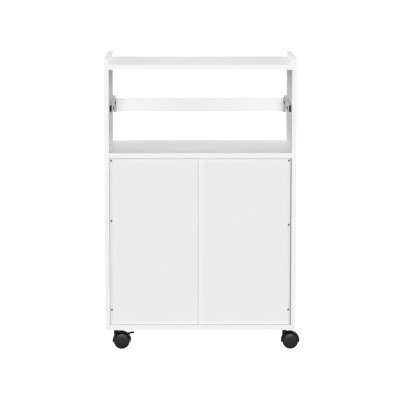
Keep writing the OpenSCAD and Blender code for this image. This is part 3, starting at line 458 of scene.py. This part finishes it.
def stands_for(node, bm, materials):
    """Makes a bmesh the piece that is seen in a CAD node's place, on its body, with the given
    materials.
    """
    name = node + "_shown"
    mesh = bpy.data.meshes.new(name)
    bm.to_mesh(mesh)
    bm.free()
    mesh.shade_smooth()
    mesh.set_sharp_from_angle(angle=SHARP)
    for material in materials:
        mesh.materials.append(material)
    piece = bpy.data.objects.new(name, mesh)
    bpy.context.scene.collection.objects.link(piece)
    piece.modifiers.new("even_normals", "WEIGHTED_NORMAL").keep_sharp = True
    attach(piece, frame["nodes"][node]["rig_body"])
    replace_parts(piece, node)


def rounded(node, material, width):
    """A CAD node's copy with its sharp edges broken, in one material."""
    bm = copy_of(node)
    soften(bm, width)
    stands_for(node, bm, [material])


def coat(node, material):
    """Gives a CAD node that stays a finish."""
    mesh = frame["nodes"][node].data
    mesh.materials.clear()
    mesh.materials.append(material)


# ---------------------------------------------------------------- boards

BOARD_ROUND = 0.5 * MM
PANEL_ROUND = 0.2 * MM
BAND_T = 0.8 * MM
LONG_EDGE = 12 * MM  # shorter edges are those of holes, and stay as drilled
# width of the painted shadow on the back panel beside the joint strip
STRIP_SHADOW_W = 5.5 * MM
# the axes whose ends carry edge bands
BANDED = {
    "side_panel_left": (Y, Z), "side_panel_right": (Y, Z),
    "door_left": (X, Z), "door_right": (X, Z), "front_rail": (X, Z),
    "top_shelf": (Y,), "microwave_shelf": (Y,), "bottom_panel": (Y,), "adjustable_shelf": (Y,),
}
FACE, BAND, CORE = 0, 1, 2
LACQUER, CUT = 0, 1
FACING_Y = 0.5  # the least y in the normal of a panel's face, rather than its edge


def board(node, banded_axes, materials):
    """A coated board: rounded edges, edge bands across those axes, raw chipboard in its holes."""
    low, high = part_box(node)
    bm = copy_of(node)
    soften(bm, BOARD_ROUND, LONG_EDGE)
    for axis in banded_axes:
        normal = Vector((0, 0, 0))
        normal[axis] = 1
        cut_across(bm, low + normal * BAND_T, normal)
        cut_across(bm, high - normal * BAND_T, normal)
    for face in bm.faces:
        middle = face.calc_center_median()
        depth = [min(middle[axis] - low[axis], high[axis] - middle[axis]) for axis in (X, Y, Z)]
        in_hole = min(depth) > BOARD_ROUND
        in_band = any(depth[axis] < BAND_T for axis in banded_axes)
        face.material_index = CORE if in_hole else BAND if in_band else FACE
    stands_for(node, bm, materials)


def make_boards():
    materials = [laminate(), edge_band(), raw_core()]
    for node, axes in BANDED.items():
        board(node, axes, materials)


def make_back():
    """Hardboard panels with lacquered faces, raw edges and raw holes, and the cleats behind."""
    strip_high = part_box("back_joint_strip")[1]
    # the lacquer carries a painted shadow from the joint strip's edge outwards
    lacquer = lacquered_hardboard(strip_high.x, strip_high.x + STRIP_SHADOW_W)
    materials = [lacquer, raw_board("raw_hardboard")]
    for node in ("back_panel_left", "back_panel_right"):
        bm = copy_of(node)
        soften(bm, PANEL_ROUND, LONG_EDGE, segments=1)
        for face in bm.faces:
            face.material_index = LACQUER if abs(face.normal.y) >= FACING_Y else CUT
        stands_for(node, bm, materials)
    coat("back_cleats", raw_board("raw_cleat"))


# ---------------------------------------------------------------- casters and fittings

CASTER_ROUND = 0.2 * MM
FITTING_ROUND = 0.25 * MM
MOULD_ROUND = 0.5 * MM
DISC_R = 22.4 * MM
DISC, TYRE = 0, 1


def wheel_pair(corner, materials):
    """Two domed discs in black tyres on one hub, the discs paler than the tyres."""
    node = "wheels_" + corner
    low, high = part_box(node)
    axle = (low + high) / 2
    bm = copy_of(node)
    for face in bm.faces:
        middle = face.calc_center_median()
        reach = math.hypot(middle.x - axle.x, middle.z - axle.z)
        face.material_index = DISC if reach < DISC_R else TYRE
    soften(bm, CASTER_ROUND)
    stands_for(node, bm, materials)


def make_casters(black, bright):
    disc = moulded_nylon("wheel_disc", smoothest=0.26, gloss=0.3)
    tyre = moulded_nylon("wheel_tyre", smoothest=0.5, gloss=0.15)
    for corner in CASTERS:
        wheel_pair(corner, [disc, tyre])
        rounded("hood_" + corner, black, CASTER_ROUND)
        coat("axle_" + corner, bright)
    for corner in BRAKED:
        rounded("brake_pedal_" + corner, black, CASTER_ROUND)


def make_fittings(black, bright, zinc):
    """The strip, the catches, the slides' parts and the plates, then a finish for what stays."""
    rounded("back_joint_strip", white_plastic("strip_plastic"), FITTING_ROUND)
    rounded("catch_housings", white_plastic("white_plastic"), MOULD_ROUND)
    rounded("catch_magnets", ferrite(), FITTING_ROUND)
    rounded("slide_levers", black, FITTING_ROUND)
    rounded("slide_buffers", black, MOULD_ROUND)
    for node in ("slide_outer_members", "slide_inner_members", "rail_brackets", "caster_plates"):
        rounded(node, zinc, FITTING_ROUND)
    coat("back_panel_screws", zinc_plate("dark_zinc"))
    coat_of_slot = {"zinc_steel": zinc, "bright_steel": bright, "beech": beech()}
    replaced = {node for piece in bpy.data.objects for node in piece.get("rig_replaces", ())}
    for node, slot in SLOT_OF.items():
        if slot in coat_of_slot and node not in replaced:
            coat(node, coat_of_slot[slot])


def make_pieces():
    black = moulded_nylon("black_nylon", smoothest=0.36, gloss=0.2)
    bright = bright_steel()
    zinc = zinc_plate("zinc_plate")
    make_boards()
    make_back()
    make_casters(black, bright)
    make_fittings(black, bright, zinc)


set_camera()
set_light()
set_floor()
make_pieces()
